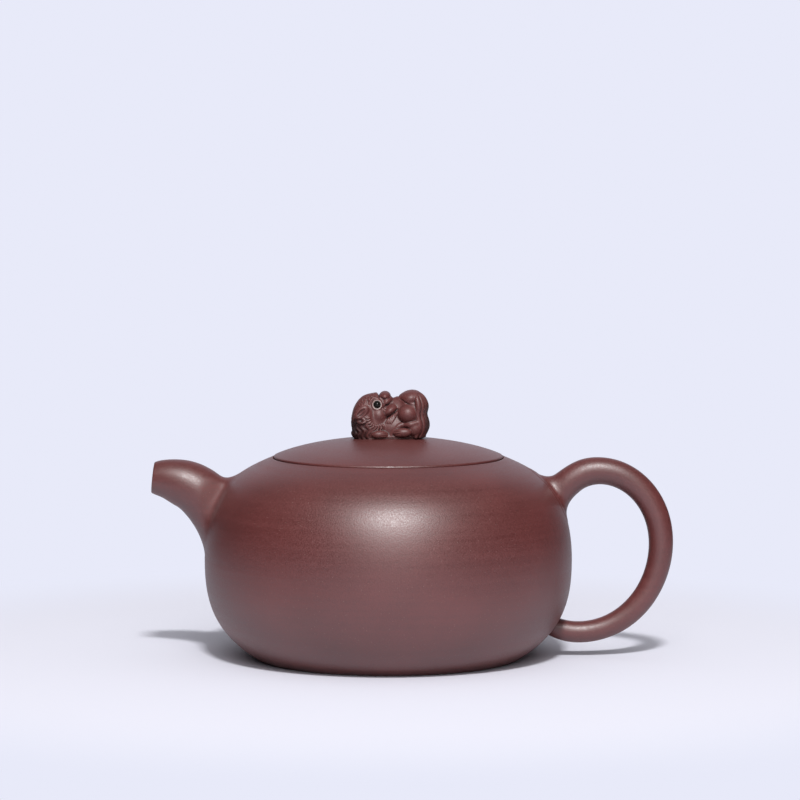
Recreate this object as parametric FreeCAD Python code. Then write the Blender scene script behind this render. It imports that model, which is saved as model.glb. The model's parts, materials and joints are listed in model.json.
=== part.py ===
"""Unglazed purple clay teapot with a flush lid and a recumbent beast for a knob.

Millimetres, +Z up. The origin is on the pot's axis, in the plane of the foot. The spout points to -X,
the handle to +X, and -Y is the side that is seen. Every piece is built the way a potter builds it:
slabs, rolls and pinched forms that are luted together, each one its own solid.
"""

import FreeCAD, Part
import math
import os
from collections import namedtuple

from FreeCAD import Vector

# Pot outline: three tangent curves, flank, shoulder and lid
FOOT_R = 36.8
FOOT_SLOPE = 32.0
FOOT_PULL = 14.0
BELLY_R = 51.3
BELLY_Z = 27.4
BELLY_DROP = 12.0
BELLY_LIFT = 22.4
SEAM_R = 32.3
SEAM_Z = 56.1
SEAM_SLOPE = 25.0
SHOULDER_PULL = 7.0
LID_PULL = 6.8
CROWN_PULL = 13.5
LID_TOP_Z = 61.6

# Pot walls and the lines where its slabs are joined
WALL = 3.0
FOOT_LAND = 4.0
FOOT_ROUND = 1.5
BASE_RISE = 1.8
BASE_THICK = 3.2
FOOT_RAMP = 3.6
FLOOR_FLAT = 0.5
FLOOR_RAMP = 0.25
BASE_JOINT_Z = 3.4
SHOULDER_JOINT_DROP = 1.4
LUTE_DEPTH = 0.8

# Mouth: a rebate that the lid's edge drops into, and a flat land that carries the lid
REBATE_DEPTH = 1.6
SEAM_GAP = 0.3
LID_PROUD = 0.2
LIP_ROUND = 0.25
LID_LIP_ROUND = 0.5
LAND_WIDTH = 3.0
COLLAR_WALL = 2.3
COLLAR_DEPTH = 3.0

# Lid
LID_WALL = 3.2
FLANGE_GAP = 0.35
FLANGE_WALL = 2.6
FLANGE_DEPTH = 5.6
FLANGE_ROUND = 0.7
VENT_R = 1.0
VENT_Y = 9.6

# Spout: an arc of growing sections that flares into the wall
SPOUT_REACH = 14.4
SPOUT_TIP_DROP = 5.8
SPOUT_TIP_TILT = 6.0
SPOUT_BEND = 37.0
SPOUT_BEND_R_TIP = 19.3
SPOUT_BEND_R_NECK = 21.3
SPOUT_TIP_R = 4.3
SPOUT_NECK_R = 7.1
SPOUT_SWELL = 1.6
SPOUT_LIP_WALL = 1.3
SPOUT_LIP_ROUND = 0.4
SPOUT_NECK_WALL = 2.4
SPOUT_ROOT_BELOW_JOINT = 1.5
SPOUT_ROOT_HEIGHT = 25.4
SPOUT_ROOT_HALF_WIDTH = 11.0
SPOUT_FLARE_LEAD = 4.5
SPOUT_FLARE_TAIL = 5.0

# Strainer: a pierced dome over the spout's root, inside the pot
STRAINER_WALL = 1.6
STRAINER_SEAT = 1.2
STRAINER_HOLE_R = 0.9
STRAINER_RING_STEP = 22.0
STRAINER_RING_HOLES = (1, 6, 12)

# Handle: a round roll along two quarter ellipses, flared at the top and butted at the bottom
HANDLE_REACH = 24.9
HANDLE_BACK_Z = 32.1
HANDLE_CROWN_OUT = 7.4
HANDLE_CROWN_DROP = 3.9
HANDLE_SOLE_OUT = 2.2
HANDLE_SOLE_Z = 6.9
HANDLE_LEAD_R = 12.5
HANDLE_LEAD_TURN = 42.0
HANDLE_ROOT_R = 4.0
HANDLE_TAIL_R = 2.9
HANDLE_TAIL_TURN = 12.0
HANDLE_ROOT_BELOW_JOINT = 1.5
HANDLE_ROOT_HEIGHT = 15.6
HANDLE_ROOT_HALF_WIDTH = 8.0
HANDLE_FLARE_LEAD = 4.2
HANDLE_FLARE_TAIL = 3.8
HANDLE_BURIED = 17.1

# Beast knob: rounded forms, placed from the lid's top, tilted nose-up about Y, then turned about Z. One of
# each pair is given. The film is the slip that luted one form to the next
LUTE_FILM = 0.03
Form = namedtuple("Form", "centre half tilt turn")
BEAST_CHEST = Form((-4.8, 0.0, 2.6), (5.0, 5.4, 5.2), 0.0, 0.0)
BEAST_LOIN = Form((1.5, 0.0, 2.6), (7.0, 5.0, 4.6), 0.0, 0.0)
BEAST_RUMP = Form((6.5, 0.0, 6.6), (4.1, 5.2, 6.7), 0.0, 0.0)
BEAST_SKULL = Form((-3.0, 0.0, 8.1), (4.7, 4.2, 4.6), 25.0, 0.0)
BEAST_CHEEK = Form((-2.3, -2.6, 6.2), (2.4, 2.2, 2.4), 0.0, 0.0)
BEAST_MANE = Form((-6.5, 0.0, 5.0), (3.9, 5.8, 7.0), 0.0, 0.0)
BEAST_MUZZLE = Form((0.1, 0.0, 10.0), (2.1, 3.0, 1.4), 33.0, 0.0)
BEAST_NOSE = Form((-0.6, 0.0, 11.7), (1.6, 1.9, 1.4), 20.0, 0.0)
BEAST_JAW = Form((1.0, 0.0, 7.9), (2.2, 2.8, 1.4), 27.0, 0.0)
BEAST_EYE = Form((-3.1, -3.6, 9.4), (1.05, 1.05, 1.05), 0.0, 0.0)
BEAST_EAR = Form((-7.6, -4.7, 7.4), (1.8, 1.3, 3.0), -22.0, 0.0)
BEAST_HAUNCH = Form((5.5, -4.2, 6.9), (2.6, 2.3, 2.6), 0.0, 0.0)
BEAST_HIND_FOOT = Form((3.6, -5.0, 1.6), (2.9, 1.7, 1.6), 0.0, -8.0)
BEAST_HOCK = Form((7.2, -4.2, 2.6), (2.2, 1.9, 2.3), 0.0, 0.0)
BEAST_FOREPAW = Form((-2.2, -5.2, 1.2), (2.4, 1.5, 1.4), 0.0, 8.0)
BEAST_TAIL = Form((9.9, 0.0, 6.2), (1.4, 2.3, 5.9), 0.0, 0.0)

# Drawing resolution, and how far the cutting tools reach past what they cut
RING_POINTS = 16
FLARE_STEPS = 4
SPOUT_STEPS = 4
HANDLE_LEAD_STEPS = 2
HANDLE_QUARTER_STEPS = 4
DRILL_WALLS = 3
CUT_OVER = 1.08
BORE_OVER = 6.0
NEAR = 0.01
FINE = 1e-7

AXIS_BASE = Vector(0, 0, 0)
AXIS_UP = Vector(0, 0, 1)
ACROSS = Vector(0, 1, 0)


# Profile curves: each is four (r, z) control points, run from the foot up to the crown

def blend(a, b, t):
    return tuple(p + (q - p) * t for p, q in zip(a, b))


def along(start, degrees, length):
    angle = math.radians(degrees)
    return (start[0] + length * math.cos(angle), start[1] + length * math.sin(angle))


def flank_curve():
    foot = (FOOT_R, 0.0)
    return [foot, along(foot, FOOT_SLOPE, FOOT_PULL), (BELLY_R, BELLY_Z - BELLY_DROP), (BELLY_R, BELLY_Z)]


def shoulder_curve():
    seam = (SEAM_R, SEAM_Z)
    belly = (BELLY_R, BELLY_Z)
    return [belly, (BELLY_R, BELLY_Z + BELLY_LIFT), along(seam, -SEAM_SLOPE, SHOULDER_PULL), seam]


def lid_curve():
    edge = along(along((SEAM_R, SEAM_Z), 180.0 - SEAM_SLOPE, SEAM_GAP), 90.0 - SEAM_SLOPE, LID_PROUD)
    return [edge, along(edge, 180.0 - SEAM_SLOPE, LID_PULL), (CROWN_PULL, LID_TOP_Z), (0.0, LID_TOP_Z)]


def split(curve, t):
    """The curve's two parts, before and after parameter t."""
    a, b, c = (blend(p, q, t) for p, q in zip(curve, curve[1:]))
    d, e = blend(a, b, t), blend(b, c, t)
    middle = blend(d, e, t)
    return [curve[0], a, d, middle], [middle, e, c, curve[3]]


def inset(curve, depth):
    """The curve moved inwards by depth, across its own direction."""
    def moved(spot, ahead):
        run = math.dist(spot, ahead)
        across = ((ahead[1] - spot[1]) / run, (spot[0] - ahead[0]) / run)
        return (spot[0] - depth * across[0], spot[1] - depth * across[1])

    start = moved(curve[0], curve[1])
    beyond = tuple(2 * p - q for p, q in zip(curve[3], curve[2]))
    end = moved(curve[3], beyond)
    shrink = math.dist(start, end) / math.dist(curve[0], curve[3])
    lead = tuple(s + (p - q) * shrink for s, p, q in zip(start, curve[1], curve[0]))
    tail = tuple(e + (p - q) * shrink for e, p, q in zip(end, curve[2], curve[3]))
    return [start, lead, tail, end]


def parameter_at(curve, z):
    """The parameter at which a rising curve reaches height z."""
    low, high = 0.0, 1.0
    while high - low > FINE:
        middle = (low + high) / 2
        if split(curve, middle)[0][3][1] < z:
            low = middle
        else:
            high = middle
    return low


def at_height(curves, z):
    """The radius and the upward direction of flank and shoulder at height z."""
    flank, shoulder = curves
    curve = flank if z < flank[3][1] else shoulder
    after = split(curve, parameter_at(curve, z))[1]
    run = math.dist(after[0], after[1])
    return after[0][0], ((after[1][0] - after[0][0]) / run, (after[1][1] - after[0][1]) / run)


def on_profile(rz):
    return Vector(rz[0], 0, rz[1])


def turned(*runs):
    """A solid of revolution. Each run is two points of a straight line or four of a curve, in order."""
    edges = []
    for run in runs:
        spots = [on_profile(rz) for rz in run]
        if len(spots) == 2:
            line = Part.LineSegment(*spots)
        else:
            line = Part.BezierCurve()
            line.setPoles(spots)
        edges.append(line.toShape())
    face = Part.Face(Part.Wire(edges))
    return Part.Solid(face.revolve(AXIS_BASE, AXIS_UP, 360))


def band(inner, outer, low, high):
    """A plain upright ring."""
    corners = [(inner, low), (outer, low), (outer, high), (inner, high)]
    return turned(*zip(corners, corners[1:] + corners[:1]))


def rounded(solid, radius, r, z):
    """The solid with its level circular edge at that radius and height rounded."""
    edges = [
        edge for edge in solid.Edges
        if edge.BoundBox.ZLength < NEAR
        and abs(edge.BoundBox.ZMin - z) < NEAR
        and abs(edge.BoundBox.XMax - r) < NEAR
        and edge.BoundBox.XLength > r
    ]
    return solid.makeFillet(radius, edges)


OUTSIDE = [flank_curve(), shoulder_curve()]
INSIDE = [inset(curve, WALL) for curve in OUTSIDE]
BASE_JOINT = parameter_at(OUTSIDE[0], BASE_JOINT_Z)
SHOULDER_JOINT_Z = SEAM_Z - SHOULDER_JOINT_DROP
SHOULDER_JOINT = parameter_at(OUTSIDE[1], SHOULDER_JOINT_Z)
LAND_Z = SEAM_Z - REBATE_DEPTH * math.cos(math.radians(SEAM_SLOPE))
LAND_R = SEAM_R - REBATE_DEPTH * math.sin(math.radians(SEAM_SLOPE))
MOUTH_R = LAND_R - LAND_WIDTH
FLANGE_R = MOUTH_R - FLANGE_GAP


# The pot's slabs

def floor_curve():
    """The inside of the base, from the axis to the flank."""
    middle = (0.0, BASE_RISE + BASE_THICK)
    edge = INSIDE[0][0]
    return [middle, (edge[0] * FLOOR_FLAT, middle[1]), along(edge, 180.0, edge[0] * FLOOR_RAMP), edge]


def base_disc():
    """Round bottom slab, pressed in at the middle so that the pot stands on a ring."""
    land = FOOT_R - FOOT_LAND
    ramp = (land - FOOT_RAMP, BASE_RISE)
    hollow = [(0.0, BASE_RISE), (land * FLOOR_FLAT, BASE_RISE), ramp, (land, 0.0)]
    outer, inner = split(OUTSIDE[0], BASE_JOINT)[0], split(INSIDE[0], BASE_JOINT)[0]
    floor = floor_curve()
    disc = turned(
        hollow, [hollow[3], outer[0]], outer, [outer[3], inner[3]],
        inner[::-1], floor[::-1], [floor[0], hollow[0]],
    )
    return rounded(disc, FOOT_ROUND, FOOT_R, 0.0)


def wall_slab():
    """The beaten wall, a wrapped strip between base and shoulder, before anything is luted on."""
    low_out, low_in = split(OUTSIDE[0], BASE_JOINT)[1], split(INSIDE[0], BASE_JOINT)[1]
    high_out, high_in = split(OUTSIDE[1], SHOULDER_JOINT)[0], split(INSIDE[1], SHOULDER_JOINT)[0]
    return turned(
        low_out, high_out, [high_out[3], high_in[3]],
        high_in[::-1], low_in[::-1], [low_in[0], low_out[0]],
    )


def shoulder_disc():
    """Top slab with the mouth cut in it; a rebate and a flat land carry the lid."""
    outer, inner = split(OUTSIDE[1], SHOULDER_JOINT)[1], split(INSIDE[1], SHOULDER_JOINT)[1]
    lip, land, under = (LAND_R, LAND_Z), (MOUTH_R, LAND_Z), (MOUTH_R, inner[3][1])
    disc = turned(
        outer, [outer[3], lip], [lip, land], [land, under], [under, inner[3]],
        inner[::-1], [inner[0], outer[0]],
    )
    return rounded(disc, LIP_ROUND, SEAM_R, SEAM_Z)


def mouth_collar(shoulder):
    """Ring under the mouth that stiffens it and guides the lid's flange."""
    top = INSIDE[1][3][1]
    return band(MOUTH_R, MOUTH_R + COLLAR_WALL, top - COLLAR_DEPTH, top).cut(shoulder)


def inside_of(depth):
    """Everything that lies deeper than this under the pot's outer face, up to the seam."""
    flank, shoulder = (inset(curve, depth) for curve in OUTSIDE)
    base, top = (0.0, flank[0][1]), (0.0, shoulder[3][1])
    return turned([base, flank[0]], flank, shoulder, [shoulder[3], top], [top, base])


def cavity():
    """The space that holds the tea, up to the mouth."""
    floor = floor_curve()
    top = (0.0, INSIDE[1][3][1])
    return turned(floor, INSIDE[0], INSIDE[1], [INSIDE[1][3], top], [top, floor[0]])


# Rolled pieces: closed rings of points, skinned and closed

def ring(points):
    curve = Part.BSplineCurve()
    curve.interpolate(Points=points, PeriodicFlag=True)
    return Part.Wire([curve.toShape()])


def ring_angles():
    return [2 * math.pi * k / RING_POINTS for k in range(RING_POINTS)]


def round_section(centre, radius, outward):
    """Points round a circular section; outward is its direction in the XZ plane, Y the other."""
    spokes = [ACROSS * math.cos(a) + outward * math.sin(a) for a in ring_angles()]
    return [centre + spoke * radius for spoke in spokes]


def root_on_wall(side, top, height, half_width):
    """Points of an oval on the pot's outer face, each with the surface direction towards the middle."""
    middle_z = top - height / 2
    middle = Vector(side * at_height(OUTSIDE, middle_z)[0], 0, middle_z)
    points, inwards = [], []
    for a in ring_angles():
        z = middle_z + height / 2 * math.sin(a)
        r, (slope_r, slope_z) = at_height(OUTSIDE, z)
        turn = half_width * math.cos(a) / BELLY_R
        radial = Vector(side * math.cos(turn), math.sin(turn), 0)
        here = radial * r + AXIS_UP * z
        normal = radial * slope_z - AXIS_UP * slope_r
        back = middle - here
        back = back - normal * back.dot(normal)
        points.append(here)
        inwards.append(back.normalize())
    return points, inwards


def flare_sections(neck, heading, root, inwards, lead, tail):
    """Sections from a neck to its root, leaving the neck straight and meeting the wall flush."""
    sections = []
    for step in range(1, FLARE_STEPS + 1):
        t = step / FLARE_STEPS
        w0, w1, w2, w3 = (1 - t) ** 3, 3 * t * (1 - t) ** 2, 3 * t * t * (1 - t), t ** 3
        sections.append([
            p * w0 + (p + heading * lead) * w1 + (q + inward * tail) * w2 + q * w3
            for p, q, inward in zip(neck, root, inwards)
        ])
    return sections


def closed_roll(sections, root, heart):
    """The solid skinned over the sections, run on from its root to a point at the pot's heart."""
    rings = [ring(points) for points in sections]
    skin = Part.makeLoft(rings, False, False)
    plug = Part.makeLoft([ring(root), Part.Vertex(heart)], False, True)
    shell = Part.Shell(skin.Faces + plug.Faces + [Part.Face(rings[0])])
    shell.sewShape()
    solid = Part.Solid(shell)
    solid.fix(NEAR, NEAR, NEAR)
    return solid


def lute_pocket(root, heart):
    """The shallow scored pocket in the wall under a luted root."""
    outer = [heart + (p - heart) * CUT_OVER for p in root]
    far = heart
    for p in outer:
        far = far + (p - heart) * (2.0 / len(outer))
    reach = Part.makeLoft([Part.Vertex(heart), ring(outer), Part.Vertex(far)], True, True)
    return reach.cut(inside_of(LUTE_DEPTH))


# Spout

def spout_frame(share):
    """Centre, outward direction and heading of the spout at a share of its bend, 0 at the tip."""
    tip = Vector(-BELLY_R - SPOUT_REACH, 0, SEAM_Z - SPOUT_TIP_DROP)
    start = math.radians(SPOUT_TIP_TILT)
    pivot = tip - Vector(math.sin(start), 0, math.cos(start)) * SPOUT_BEND_R_TIP
    angle = math.radians(SPOUT_TIP_TILT + SPOUT_BEND * share)
    outward = Vector(math.sin(angle), 0, math.cos(angle))
    bend_r = SPOUT_BEND_R_TIP + (SPOUT_BEND_R_NECK - SPOUT_BEND_R_TIP) * share
    return pivot + outward * bend_r, outward, Vector(math.cos(angle), 0, -math.sin(angle))


def spout_radius(share):
    return SPOUT_TIP_R + (SPOUT_NECK_R - SPOUT_TIP_R) * (1 - (1 - share) ** SPOUT_SWELL)


def bore_radius(share):
    return spout_radius(share) - SPOUT_LIP_WALL - (SPOUT_NECK_WALL - SPOUT_LIP_WALL) * share


def spout_shares():
    return [step / SPOUT_STEPS for step in range(SPOUT_STEPS + 1)]


def spout_root():
    """The spout's root on the wall, and the heart of the pot behind it."""
    top = SHOULDER_JOINT_Z - SPOUT_ROOT_BELOW_JOINT
    root, inwards = root_on_wall(-1, top, SPOUT_ROOT_HEIGHT, SPOUT_ROOT_HALF_WIDTH)
    return root, inwards, Vector(0, 0, top - SPOUT_ROOT_HEIGHT / 2)


def spout_roll():
    sections = []
    for share in spout_shares():
        centre, outward, heading = spout_frame(share)
        sections.append(round_section(centre, spout_radius(share), outward))
    root, inwards, heart = spout_root()
    sections += flare_sections(sections[-1], heading, root, inwards, SPOUT_FLARE_LEAD, SPOUT_FLARE_TAIL)
    return closed_roll(sections, root, heart)


def bore_entry():
    """Where the bore's axis comes out inside the wall, its heading and the wall's inward direction."""
    neck, _, heading = spout_frame(1.0)
    low, high = 0.0, BELLY_R
    while high - low > FINE:
        middle = (low + high) / 2
        spot = neck + heading * middle
        if -spot.x > at_height(INSIDE, spot.z)[0]:
            low = middle
        else:
            high = middle
    entry = neck + heading * low
    slope_r, slope_z = at_height(INSIDE, entry.z)[1]
    return entry, heading, Vector(slope_z, 0, slope_r)


def spout_bore():
    """The channel from the tip through the wall into the pot."""
    sections = []
    for share in spout_shares():
        centre, outward, heading = spout_frame(share)
        sections.append(round_section(centre, bore_radius(share), outward))
    mouth = [p - spout_frame(0.0)[2] * BORE_OVER for p in sections[0]]
    run = (bore_entry()[0] - centre).Length
    through = [[p + heading * reach for p in sections[-1]] for reach in (run, run + BORE_OVER)]
    return Part.makeLoft([ring(points) for points in [mouth] + sections + through], True, False)


def spout(core, bore):
    """Rolled spout, luted on the wall, with its lip softened."""
    roll = spout_roll().cut([core, bore])
    tip, _, heading = spout_frame(0.0)

    def at_tip(edge):
        return all(abs((p - tip).dot(heading)) < NEAR for p in edge.discretize(RING_POINTS))

    return roll.makeFillet(SPOUT_LIP_ROUND, [edge for edge in roll.Edges if at_tip(edge)])


def strainer():
    """Pierced dome luted over the spout's root from inside; it keeps the leaves back."""
    entry, heading, inward = bore_entry()
    inner_r = bore_radius(1.0) / heading.dot(inward) + STRAINER_SEAT
    outer_r = inner_r + STRAINER_WALL
    dome = Part.makeSphere(outer_r, entry).cut(Part.makeSphere(inner_r, entry)).common(cavity())
    holes = []
    for index, count in enumerate(STRAINER_RING_HOLES):
        lean = math.radians(STRAINER_RING_STEP * index)
        for k in range(count):
            spin = 2 * math.pi * k / count
            side = ACROSS * math.cos(spin) + inward.cross(ACROSS) * math.sin(spin)
            aim = inward * math.cos(lean) + side * math.sin(lean)
            start = entry + aim * (inner_r - STRAINER_WALL)
            holes.append(Part.makeCylinder(STRAINER_HOLE_R, DRILL_WALLS * STRAINER_WALL, start, aim))
    return dome.cut(holes)


# Handle

def handle_line():
    """Centre and outward direction of each handle section, from the upper root round to the wall below."""
    crown_x, crown_z = BELLY_R + HANDLE_CROWN_OUT, SEAM_Z - HANDLE_CROWN_DROP
    back_x, sole_x = BELLY_R + HANDLE_REACH, BELLY_R + HANDLE_SOLE_OUT
    stations = []

    def add(x, z, out_x, out_z):
        stations.append((Vector(x, 0, z), Vector(out_x, 0, out_z).normalize()))

    def add_on_oval(middle_x, wide, tall, a):
        across, up = math.sin(a), math.cos(a)
        add(middle_x + wide * across, HANDLE_BACK_Z + tall * up, tall * across, wide * up)

    for step in range(HANDLE_LEAD_STEPS):
        a = math.radians(HANDLE_LEAD_TURN * (1 - step / HANDLE_LEAD_STEPS))
        add(
            crown_x - HANDLE_LEAD_R * math.sin(a), crown_z - HANDLE_LEAD_R * (1 - math.cos(a)),
            -math.sin(a), math.cos(a),
        )
    wide, tall = back_x - crown_x, crown_z - HANDLE_BACK_Z
    for step in range(HANDLE_QUARTER_STEPS):
        a = math.pi / 2 * step / HANDLE_QUARTER_STEPS
        add_on_oval(crown_x, wide, tall, a)
    wide, tall = back_x - sole_x, HANDLE_BACK_Z - HANDLE_SOLE_Z
    sweep = math.pi / 2 + math.radians(HANDLE_TAIL_TURN)
    for step in range(HANDLE_QUARTER_STEPS + 2):
        a = math.pi / 2 + sweep * step / (HANDLE_QUARTER_STEPS + 1)
        add_on_oval(sole_x, wide, tall, a)
    return stations


def handle_root():
    """The handle's upper root on the wall, and the heart of the pot behind it."""
    top = SHOULDER_JOINT_Z - HANDLE_ROOT_BELOW_JOINT
    root, inwards = root_on_wall(1, top, HANDLE_ROOT_HEIGHT, HANDLE_ROOT_HALF_WIDTH)
    return root, inwards, Vector(0, 0, top - HANDLE_ROOT_HEIGHT / 2)


def handle_roll():
    line = handle_line()
    sections = []
    for index, (centre, outward) in enumerate(line):
        radius = HANDLE_ROOT_R + (HANDLE_TAIL_R - HANDLE_ROOT_R) * index / (len(line) - 1)
        sections.append(round_section(centre, radius, outward))
    heading = line[-1][1].cross(ACROSS)
    buried = [p - heading * HANDLE_BURIED for p in sections[-1]]
    turn = math.radians(HANDLE_LEAD_TURN)
    root, inwards, heart = handle_root()
    flare = flare_sections(
        sections[0], Vector(-math.cos(turn), 0, -math.sin(turn)), root, inwards,
        HANDLE_FLARE_LEAD, HANDLE_FLARE_TAIL,
    )
    return closed_roll([buried] + sections[::-1] + flare, root, heart)


# Lid

def lid_disc():
    """Domed lid slab that carries the pot's outline on to the crown, with a vent behind the knob."""
    outer = lid_curve()
    slope = math.tan(math.radians(SEAM_SLOPE))
    edge = (outer[0][0] - (outer[0][1] - LAND_Z) * slope, LAND_Z)
    inner_r, under_top = FLANGE_R - FLANGE_WALL, LID_TOP_Z - LID_WALL
    hollow = [(0.0, under_top), (inner_r / 2, under_top), (inner_r, under_top), (inner_r, LAND_Z)]
    disc = turned(outer, [outer[3], hollow[0]], hollow, [hollow[3], edge], [edge, outer[0]])
    disc = rounded(disc, LID_LIP_ROUND, *outer[0])
    return disc.cut(Part.makeCylinder(VENT_R, LID_TOP_Z, ACROSS * VENT_Y))


def lid_flange():
    """Ring under the lid that drops into the mouth and keeps the lid on when pouring."""
    low = LAND_Z - FLANGE_DEPTH
    return rounded(band(FLANGE_R - FLANGE_WALL, FLANGE_R, low, LAND_Z), FLANGE_ROUND, FLANGE_R, low)


# Beast knob

def formed(form, film=0.0):
    """A rounded clay form, placed on the lid; a film makes it larger all round."""
    matrix = FreeCAD.Matrix()
    matrix.scale(*(half + film for half in form.half))
    matrix.rotateY(math.radians(-form.tilt))
    matrix.rotateZ(math.radians(form.turn))
    matrix.move(Vector(*form.centre) + AXIS_UP * LID_TOP_Z)
    return Part.makeSphere(1.0).transformGeometry(matrix)


def twin(form):
    """The same form across the beast's middle plane."""
    x, y, z = form.centre
    return Form((x, -y, z), form.half, form.tilt, -form.turn)


def beast(lid):
    """The knob's pieces in the order they are pressed on, each with a film of slip to those before it."""
    pieces, laid = {}, []

    def press(name, *forms):
        shape = formed(forms[0])
        if len(forms) > 1:
            shape = shape.fuse([formed(form) for form in forms[1:]])
        shape = shape.cut(lid)
        for form in laid:
            before = formed(form, LUTE_FILM)
            if shape.BoundBox.intersect(before.BoundBox):
                shape = shape.cut(before)
        pieces[name] = shape
        laid.extend(forms)

    def press_pair(name, form):
        press(name + "_left", form)
        pieces[name + "_right"] = pieces[name + "_left"].mirror(AXIS_BASE, ACROSS)
        laid.append(twin(form))

    press_pair("beast_eye", BEAST_EYE)
    press("beast_body", BEAST_CHEST, BEAST_LOIN, BEAST_RUMP)
    press("beast_head", BEAST_SKULL, BEAST_CHEEK, twin(BEAST_CHEEK))
    press("beast_mane", BEAST_MANE)
    press("beast_muzzle", BEAST_MUZZLE)
    press("beast_nose", BEAST_NOSE)
    press("beast_jaw", BEAST_JAW)
    press("beast_tail", BEAST_TAIL)
    press_pair("beast_ear", BEAST_EAR)
    press_pair("beast_haunch", BEAST_HAUNCH)
    press_pair("beast_hind_foot", BEAST_HIND_FOOT)
    press_pair("beast_hock", BEAST_HOCK)
    press_pair("beast_forepaw", BEAST_FOREPAW)
    return pieces


def pot():
    """The pot's pieces, with base and wall cut to receive the spout and the handle."""
    core, bore = inside_of(LUTE_DEPTH), spout_bore()
    handle = handle_roll().cut(core)
    lower_half = Part.makeBox(2 * BELLY_R, 2 * BELLY_R, BELLY_Z, Vector(0, -BELLY_R, 0))
    lower_end = handle.common(lower_half)
    pockets = [lute_pocket(root, heart) for root, _, heart in (spout_root(), handle_root())]
    shoulder = shoulder_disc()
    return {
        "base_disc": base_disc().cut(lower_end),
        "body_wall": wall_slab().cut([*pockets, lower_end, bore]),
        "shoulder_disc": shoulder,
        "mouth_collar": mouth_collar(shoulder),
        "spout": spout(core, bore),
        "strainer": strainer(),
        "handle": handle,
    }


def main():
    lid = lid_disc()
    pieces = {**pot(), "lid_disc": lid, "lid_flange": lid_flange(), **beast(lid)}
    os.makedirs("parts", exist_ok=True)
    for name, shape in pieces.items():
        shape.exportStep(os.path.join("parts", name + ".step"))
        print(f"{name}: solids {len(shape.Solids)}, valid {shape.isValid()}, volume {shape.Volume:.1f}")


main()
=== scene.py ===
"""Purple clay teapot with a beast knob: its fired clay, its modelled knob and the studio it stands in."""

import json
import math

import bpy
import numpy as np
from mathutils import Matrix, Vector


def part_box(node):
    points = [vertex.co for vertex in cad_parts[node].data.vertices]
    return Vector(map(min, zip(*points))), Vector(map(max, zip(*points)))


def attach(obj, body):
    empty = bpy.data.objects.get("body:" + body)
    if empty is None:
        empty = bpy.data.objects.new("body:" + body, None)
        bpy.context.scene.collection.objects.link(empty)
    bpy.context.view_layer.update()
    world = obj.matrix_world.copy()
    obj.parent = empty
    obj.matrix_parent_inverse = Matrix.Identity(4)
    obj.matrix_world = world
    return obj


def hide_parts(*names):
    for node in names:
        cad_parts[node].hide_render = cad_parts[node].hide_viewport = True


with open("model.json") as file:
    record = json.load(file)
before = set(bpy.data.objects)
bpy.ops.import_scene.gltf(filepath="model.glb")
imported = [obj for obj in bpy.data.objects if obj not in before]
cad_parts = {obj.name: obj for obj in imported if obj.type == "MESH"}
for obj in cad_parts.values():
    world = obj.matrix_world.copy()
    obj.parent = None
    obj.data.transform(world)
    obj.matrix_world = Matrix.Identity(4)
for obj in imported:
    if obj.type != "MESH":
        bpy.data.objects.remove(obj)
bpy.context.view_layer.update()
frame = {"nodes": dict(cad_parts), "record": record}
node_slots = {piece["node"]: piece["material_slot"] for piece in frame["record"]["subparts"]}

MM = 0.001

# Pairs of limits below run from where a thing starts to where it is full

# View: a long lens a little above the lid
VIEW_FROM = Vector((3.27, -1050.0, 157.4)) * MM
VIEW_AT = Vector((3.27, 0.0, 72.0)) * MM
VIEW_LENS = 170.1
SENSOR_WIDTH = 36.0

# Lamps, in degrees, metres and watts: a small one in front and above, and a wide diffuser nearer and lower
LAMP_AZIMUTH = 4.0
KEY_ELEVATION = 49.5
KEY_DISTANCE = 3.2
KEY_SIZE = (0.34, 0.2)
KEY_POWER = 80.0
DIFFUSER_ELEVATION = 36.0
DIFFUSER_DISTANCE = 1.6
DIFFUSER_SIZE = (0.8, 1.3)
DIFFUSER_POWER = 10.0

# Surroundings, by where a ray heads: light from above, a pale backdrop behind and a dim room elsewhere
FILL_COLOUR = (0.74, 0.74, 0.765, 1.0)
FILL_UP = (0.4, 1.0)
BACKDROP_COLOUR = (0.806, 0.822, 0.947, 1.0)
BACKDROP_BEHIND = (0.38, 0.95)
BACKDROP_ASIDE = (0.75, 0.25)
ROOM_COLOUR = (0.02, 0.02, 0.021, 1.0)

# Floor, in metres: a long sheet of paper that takes the shadow and fades into the backdrop round the pot
FLOOR_COLOUR = (0.705, 0.705, 0.785, 1.0)
FLOOR_HALF_LENGTH = 4.0
FLOOR_HALF_WIDTH = 0.25
FLOOR_FADE = (0.115, 0.2)
FLOOR_RINGS = 24
FLOOR_SPOKES = 64

# The pot's shoulder slab, in millimetres and degrees
SEAM = (32.3, 56.1)
SEAM_SLOPE = 25.0
SHOULDER_PULL = 7.0
BELLY_R = 51.3
BELLY_Z = 27.4
BELLY_LIFT = 22.4
SHOULDER_DROP = 1.4
SLAB_THICK = 3.0
TUCK_LENGTH = 0.4
TUCK_DEPTH = 0.08
LIP_ROUND = 0.25
REBATE_DEPTH = 1.6
LAND_WIDTH = 3.0
SHARP_FROM = 35.0
SHOULDER_STEPS = 120
SHOULDER_SPOKES = 288
LIP_STEPS = 6

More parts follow.
